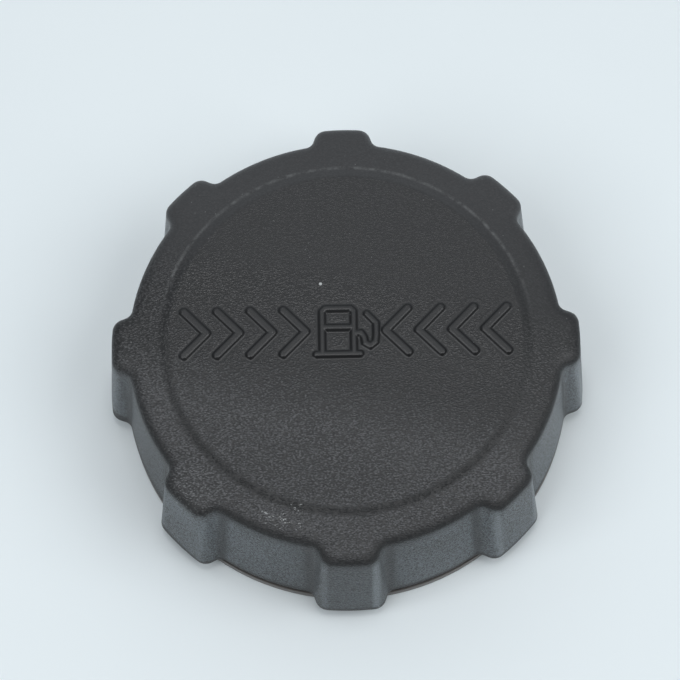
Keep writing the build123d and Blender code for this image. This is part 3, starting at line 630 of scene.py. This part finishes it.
# A broken painted highlight runs along the back of the disc's foot, dust lies in specks all over, painted
# glints lie on the front of the top and on one lug's crowns, and a crumb is stuck on the disc. Heights are
# measured from the disc.

GRIP_PALE_MARK = "#b4b6b6"
FOOT_GLEAM_BREAK = 0.0015          # gaps in the painted highlight
FOOT_GLEAM_LINE = (0.0005, 0.0001)   # off the disc's foot
FOOT_GLEAM_BACK = (0.004, 0.018)
FOOT_GLEAM_BELOW = (0.0012, 0.0009)   # below the disc
SPECK_SPACING = 0.0021
GLINT_LENGTH = 0.00034        # the painted glints are flecks about 0.1 mm long, drawn coarser so that they show
GLINT_STRETCH = 0.45
GLINT_SPOTS = (                   # place, reach and how much of the skin glints there
    ((-0.0156, -0.0359, -0.0009), 0.0018, 0.75),
    ((-0.0127, -0.0371, -0.0010), 0.0020, 0.80),
    ((-0.0100, -0.0376, -0.0010), 0.0018, 0.75),
    ((-0.0100, -0.0348, -0.0008), 0.0016, 0.65),
    ((-0.0328, -0.0315, -0.0039), 0.0012, 0.85),
    ((0.0054, -0.0469, -0.0249), 0.0010, 0.70),
)
CRUMB = (-0.0048, 0.0116, 0.0)
CRUMB_EDGE = (0.00036, 0.00026)
GLINT_LUG = (-0.0305, -0.0318, -0.0015)
GLINT_LUG_REACH = (0.0075, 0.001)


def distance_from(material, place, spot):
    """How far a point is from a spot on the grip, whose height is measured from the disc."""
    spot = (spot[0], spot[1], spot[2] + DISC_HEIGHT)
    return add(material, "VectorMath", {0: place, 1: spot}, operation="DISTANCE").outputs["Value"]


def back_foot_highlight(material, place, y, height, off_axis):
    """A thin broken painted highlight at the foot of the disc, along its back."""
    gap = add(material, "Math", {0: off_axis, 1: DISC_FOOT_RADIUS}, operation="SUBTRACT")
    gap = add(material, "Math", {0: gap}, operation="ABSOLUTE")
    line = add(material, "MapRange", {"Value": gap, "From Min": FOOT_GLEAM_LINE[0], "From Max": FOOT_GLEAM_LINE[1]})
    at_back = add(material, "MapRange", {
        "Value": y, "From Min": FOOT_GLEAM_BACK[0], "From Max": FOOT_GLEAM_BACK[1], "To Max": line})
    on_top = add(material, "MapRange", {
        "Value": height, "To Max": at_back,
        "From Min": DISC_HEIGHT - FOOT_GLEAM_BELOW[0], "From Max": DISC_HEIGHT - FOOT_GLEAM_BELOW[1]})
    breaks = add(material, "TexNoise", {
        "Vector": place, "Scale": 1 / FOOT_GLEAM_BREAK, "Detail": 5.0, "Roughness": 0.7})
    left = add(material, "MapRange", {"Value": breaks, "From Min": 0.38, "From Max": 0.66, "To Max": 0.15})
    return add(material, "Math", {0: on_top, 1: left}, operation="MULTIPLY")


def glints(material, place):
    """Groups of short painted glints, one output for each group."""
    strokes = add(material, "Mapping", {"Vector": place, "Scale": (GLINT_STRETCH, 1.0, 1.0)})
    sparkle = add(material, "TexNoise", {
        "Vector": strokes, "Scale": 1 / GLINT_LENGTH, "Detail": 2.0, "Roughness": 0.6})
    groups = []
    for spot, reach, share in GLINT_SPOTS:
        away = distance_from(material, place, spot)
        near = add(material, "MapRange", {"Value": away, "From Min": reach, "From Max": 0.0})
        inside = add(material, "Math", {0: near, 1: 0.01}, operation="GREATER_THAN")
        cut = add(material, "Math", {0: near, 1: 0.14, 2: sparkle}, operation="MULTIPLY_ADD")
        glinting = add(material, "MapRange", {
            "Value": cut, "From Min": 0.675, "From Max": 0.71, "To Max": share})
        groups.append(add(material, "Math", {0: glinting, 1: inside}, operation="MULTIPLY"))
    return groups


def crumb_glints_and_specks(material, place, crowns, etched):
    """The crumb, painted glints on the crowns of one lug, and specks of dust."""
    crumb = add(material, "MapRange", {
        "Value": distance_from(material, place, CRUMB),
        "From Min": CRUMB_EDGE[0], "From Max": CRUMB_EDGE[1], "To Max": 0.9})
    # Painted glints on the grain's crowns of the front-left lug.
    near_lug = add(material, "MapRange", {
        "Value": distance_from(material, place, GLINT_LUG),
        "From Min": GLINT_LUG_REACH[0], "From Max": GLINT_LUG_REACH[1], "To Max": 0.20})
    lug_glint = add(material, "MapRange", {
        "Value": crowns, "From Min": 0.35, "From Max": 0.95, "To Max": near_lug})
    lug_glint = add(material, "Math", {0: lug_glint, 1: etched}, operation="MULTIPLY")
    dust = add(material, "TexVoronoi", {"Vector": place, "Scale": 1 / SPECK_SPACING}, feature="F1")
    specks = add(material, "MapRange", {
        "Value": dust, "From Min": 0.062, "From Max": 0.034, "To Max": 0.22})
    specks = add(material, "Math", {0: specks, 1: etched}, operation="MULTIPLY")
    return [crumb, lug_glint, specks]


def leather_grained_polypropylene():
    """Black polypropylene with an etched grain rubbed by use, specked with dust, and with painted highlights,
    reflections, shade and glints.
    """
    material, shader = start_material("polypropylene_leather_grain", GRAIN_VALLEY, 0.42, ior=1.50)
    coordinates = add(material, "TexCoord")
    place = coordinates.outputs["Object"]
    normal = coordinates.outputs["Normal"]
    x, y, height = add(material, "SeparateXYZ", {"Vector": place}).outputs
    off_axis = distance_off_axis(material, place)
    frontward = add(material, "VectorMath", {
        0: place, 1: CRISP_SIDE}, operation="DOT_PRODUCT").outputs["Value"]
    blotches = add(material, "TexNoise", {"Vector": place, "Scale": 1 / BLOTCH, "Detail": 4.0})
    etched = moulded_outside(material, place, normal)
    grained = grain_left(material, etched, frontward)
    crowns, uneven = hide_pattern(material, place)
    clear_of_edge_shade = above_edge_shade(material, x, height)

    ground = add(material, "Math", {0: uneven, 1: 0.8, 2: crowns}, operation="MULTIPLY_ADD")
    ground = add(material, "Math", {0: ground, 1: grained}, operation="MULTIPLY")
    skin = softened_rim(material, off_axis, height)
    bump = add(material, "Bump", {"Height": ground, "Strength": 1.0, "Distance": GRAIN_DEPTH, "Normal": skin})

    rim_and_slope_band = rim_and_slope(material, skin, off_axis)
    relief = rubbed_relief(material, crowns, uneven, blotches, grained)
    colour = skin_tone(material, relief, frontward, y, off_axis, rim_and_slope_band, clear_of_edge_shade)
    upright = upright_sides(material, normal, height, clear_of_edge_shade)
    colour = lit_sides(material, colour, place, x, y, off_axis, blotches, etched, upright)
    pale_marks = back_foot_highlight(material, place, y, height, off_axis)
    for mark in glints(material, place) + crumb_glints_and_specks(material, place, crowns, etched):
        pale_marks = add(material, "Math", {0: pale_marks, 1: mark}, operation="MAXIMUM")
    colour = add(material, "MixRGB", {"Fac": pale_marks, "Color1": colour, "Color2": linear(GRIP_PALE_MARK)})

    gloss = add(material, "Math", {0: blotches, 1: 0.08, 2: 0.31}, operation="MULTIPLY_ADD")
    gloss = add(material, "Math", {0: grained, 1: 0.05, 2: gloss}, operation="MULTIPLY_ADD")
    connect(material, shader, {"Base Color": colour, "Roughness": gloss, "Normal": bump})
    return material


grip_polypropylene = leather_grained_polypropylene()
dress(grip_polypropylene, "grip_shell")


# ---------------------------------------------------------------- raised marks
# Moulded with the grip's disc, in the same polypropylene: arrowheads on both sides that point to a
# plain fuel pump. Half a millimetre proud, rounded over, smooth, and the grain dies away beside them.

MARK_STROKE = 0.0019
MARK_HEIGHT = 0.00052
MARK_FLANK = 0.00070         # width of the rounded side of a stroke
MARK_FOOT = 0.0002           # how far the flank runs out past the stroke
MARK_BORDER = 0.0011         # smooth border where the grain has faded
MARK_BORDER_SLOPE = 0.0004   # over which the border sinks into the disc
MARK_PATCH_REACH = 0.0005    # how far the patch runs out past the border
MARK_EMBED = 0.00003         # the patch's rim dips into the disc
MARK_LIFT = 0.000006         # and its border lies this far above it
MARK_GRID = 0.00013
PATCH_HALF_LENGTH = 0.0365   # of the grid from which the patch is cut
PATCH_HALF_HEIGHT = 0.0082
ROW_HALF_LENGTH = 0.0327
ROW_HALF_HEIGHT = 0.0046
ROW_PLACE = 0.0014           # the row sits a little behind the axis
ARROW_REACH = 0.0044
ARROW_PITCH = 0.0065
ARROW_COUNT = 4
PUMP_STROKE = 0.8            # the pump's strokes are finer than the arrows', by this share
PUMP_HALF_WIDTH = 0.0075
PUMP_LEFT, PUMP_RIGHT = -0.0046, 0.0016
PUMP_FOOT, PUMP_TOP = -0.0048, 0.0048
PUMP_CORNER = 0.0006
PUMP_BASE_REACH = 0.0012     # the base plate stands out on both sides
PUMP_WINDOW = 0.0008         # height of the window's sill
PUMP_HOSE = (
    (PUMP_RIGHT, -0.0006), (0.0030, -0.0004), (0.0036, -0.0014), (0.0038, -0.0026), (0.0048, -0.0032),
    (0.0058, -0.0024), (0.0060, -0.0010), (0.0060, 0.0016), (0.0042, 0.0036),
)


def arrow_strokes():
    """Centre lines of the arrowheads, as pairs of points on the disc."""
    strokes = []
    for side in (-1, 1):
        for i in range(ARROW_COUNT):
            tail = side * (ROW_HALF_LENGTH - MARK_STROKE / 2 - i * ARROW_PITCH)
            tip = tail - side * ARROW_REACH
            strokes += [((tail, end), (tip, 0.0)) for end in (ROW_HALF_HEIGHT, -ROW_HALF_HEIGHT)]
    return strokes


def pump_strokes():
    """Centre lines of the pump: its body with clipped top corners, base, window sill and hose."""
    shoulder = PUMP_TOP - PUMP_CORNER
    body = [(PUMP_LEFT, PUMP_FOOT), (PUMP_LEFT, shoulder), (PUMP_LEFT + PUMP_CORNER, PUMP_TOP),
            (PUMP_RIGHT - PUMP_CORNER, PUMP_TOP), (PUMP_RIGHT, shoulder), (PUMP_RIGHT, PUMP_FOOT)]
    base = ((PUMP_LEFT - PUMP_BASE_REACH, PUMP_FOOT), (PUMP_RIGHT + PUMP_BASE_REACH, PUMP_FOOT))
    sill = ((PUMP_LEFT, PUMP_WINDOW), (PUMP_RIGHT, PUMP_WINDOW))
    return list(zip(body, body[1:])) + [base, sill] + list(zip(PUMP_HOSE, PUMP_HOSE[1:]))


def raised_row():
    """A fine patch on the disc, lifted where strokes run and kept only round them."""
    across = np.arange(-PATCH_HALF_LENGTH, PATCH_HALF_LENGTH, MARK_GRID)
    along = np.arange(-PATCH_HALF_HEIGHT, PATCH_HALF_HEIGHT, MARK_GRID)
    x, y = np.meshgrid(across, along)
    gap = np.full(x.shape, 1.0)
    for (ax, ay), (bx, by) in arrow_strokes() + pump_strokes():
        span = np.array((bx - ax, by - ay))
        t = np.clip(((x - ax) * span[0] + (y - ay) * span[1]) / (span @ span), 0, 1)
        half = MARK_STROKE / 2 * (1.0 if abs(ax) > PUMP_HALF_WIDTH else PUMP_STROKE)
        gap = np.minimum(gap, np.hypot(x - ax - t * span[0], y - ay - t * span[1]) - half)
    rise = np.clip((MARK_FOOT - gap) / MARK_FLANK, 0, 1)
    lift = MARK_HEIGHT * rise * rise * (3 - 2 * rise) + MARK_LIFT
    rim = np.clip((gap - MARK_BORDER) / MARK_BORDER_SLOPE, 0, 1)
    height = DISC_HEIGHT + lift - rim * (MARK_EMBED + MARK_LIFT)
    fade = np.clip((MARK_BORDER - gap) / (MARK_BORDER * 0.8), 0, 1)

    kept = gap < MARK_BORDER + MARK_PATCH_REACH
    quad = kept[:-1, :-1] & kept[1:, :-1] & kept[:-1, 1:] & kept[1:, 1:]
    rows, columns = np.nonzero(quad)
    width = x.shape[1]
    corner = rows * width + columns
    quads = np.stack([corner, corner + 1, corner + width + 1, corner + width], axis=1)
    used, quads = np.unique(quads, return_inverse=True)
    points = np.stack([x.ravel()[used], y.ravel()[used] + ROW_PLACE, height.ravel()[used]], axis=1)
    made = piece("raised_marks", points.tolist(), quads.reshape(-1, 4).tolist(), grip_polypropylene)
    faded = made.data.attributes.new("grain_fade", "FLOAT", "POINT")
    faded.data.foreach_set("value", fade.ravel()[used].astype(np.float32))
    return made


marks = raised_row()
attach(marks, "grip")


# ---------------------------------------------------------------- table
# The cap stands on a pale table top of satin laminate: nearly white and a little cool, with a faint
# cloudiness. It lies a hair below the flange, so that the two faces never coincide.

TABLE_PALE = "#f0f6f8"
TABLE_CLOUD = "#e9f0f3"
CLOUD_WIDTH = 1 / 9
TABLE_SIDE = 1.6
TABLE_LEVEL = -0.00002


def satin_laminate():
    """Satin laminate with a faint cloudiness."""
    material, shader = start_material("laminate_satin", TABLE_PALE, 0.5, ior=1.5)
    place = add(material, "TexCoord").outputs["Object"]
    cloud = add(material, "TexNoise", {"Vector": place, "Scale": 1 / CLOUD_WIDTH, "Detail": 3.0})
    colour = add(material, "MixRGB", {
        "Fac": cloud, "Color1": linear(TABLE_PALE), "Color2": linear(TABLE_CLOUD)})
    connect(material, shader, {"Base Color": colour})
    return material


corners = [(side * TABLE_SIDE, end * TABLE_SIDE, TABLE_LEVEL)
           for side, end in ((-1, -1), (1, -1), (1, 1), (-1, 1))]
table = piece("table_top", corners, [(0, 1, 2, 3)], satin_laminate(), smooth=False)


# ---------------------------------------------------------------- light
# Two large softboxes left and right, a weak one overhead, and a room that glows from its back wall
# and ceiling, which lights the slopes that face away from the camera.

SOFTBOXES = (                # name, place, width, height, power and colour
    ("softbox_left", (-1.0, -0.7, 1.6), 1.3, 1.3, 14.2, "#f6fafd"),
    ("softbox_right", (1.15, -0.35, 1.5), 1.3, 1.3, 14.4, "#f8fbfd"),
    ("softbox_overhead", (0.0, 0.12, 1.9), 0.6, 0.5, 6.0, "#fdfcfc"),
)
ROOM_COLOUR = "#e9f1f6"
ROOM_BRIGHT_SIDE = (0.0, 0.75, 0.661)

for name, place, width, height, power, colour in SOFTBOXES:
    light = bpy.data.lights.new(name, "AREA")
    light.shape = "RECTANGLE"
    light.size = width
    light.size_y = height
    light.energy = power
    light.color = linear(colour)[:3]
    lamp = bpy.data.objects.new(name, light)
    lamp.location = place
    lamp.rotation_euler = (-Vector(place)).to_track_quat("-Z", "Y").to_euler()
    bpy.context.scene.collection.objects.link(lamp)

room = bpy.data.worlds.new("room")
room.use_nodes = True
sky = add(room, "TexCoord").outputs["Generated"]
toward_bright = add(room, "VectorMath", {0: sky, 1: ROOM_BRIGHT_SIDE}, operation="DOT_PRODUCT")
glow = add(room, "MapRange", {
    "Value": toward_bright.outputs["Value"],
    "From Min": 0.2, "From Max": 1.0, "To Min": 0.07, "To Max": 0.67})
connect(room, room.node_tree.nodes["Background"], {"Color": linear(ROOM_COLOUR), "Strength": glow})
bpy.context.scene.world = room
bpy.context.scene.view_settings.view_transform = "Standard"


# ---------------------------------------------------------------- camera
# Above and in front, a long way back on a long lens, and turned a touch to the left.

CAMERA_ELEVATION = math.radians(69.3)
CAMERA_AZIMUTH = math.radians(0.38)
CAMERA_ROLL = math.radians(-1.45)
CAMERA_DISTANCE = 0.6306     # from the middle of the grip's open edge
CAMERA_LENS = 163.66
CAMERA_AIM = (-0.00142, 0.00923)   # right and up from that middle

sideways = Matrix.Rotation(CAMERA_AZIMUTH, 3, "Z")
back = sideways @ Vector((0, -math.cos(CAMERA_ELEVATION), math.sin(CAMERA_ELEVATION)))
level = sideways @ Vector((1, 0, 0))
upright = back.cross(level)
across = level * math.cos(CAMERA_ROLL) + upright * math.sin(CAMERA_ROLL)
over = upright * math.cos(CAMERA_ROLL) - level * math.sin(CAMERA_ROLL)
foot = Vector((0, 0, OPEN_EDGE_HEIGHT))
lens_place = foot + back * CAMERA_DISTANCE
aim = foot + across * CAMERA_AIM[0] + over * CAMERA_AIM[1]
view_back = (lens_place - aim).normalized()
view_right = over.cross(view_back).normalized()
view_up = view_back.cross(view_right)
turn = Matrix((view_right, view_up, view_back)).transposed().to_4x4()

camera = bpy.data.cameras.new("camera")
camera.sensor_width = 36
camera.lens = CAMERA_LENS
camera.clip_start = 0.01
camera_object = bpy.data.objects.new("camera", camera)
camera_object.matrix_world = Matrix.Translation(lens_place) @ turn
bpy.context.scene.collection.objects.link(camera_object)
bpy.context.scene.camera = camera_object
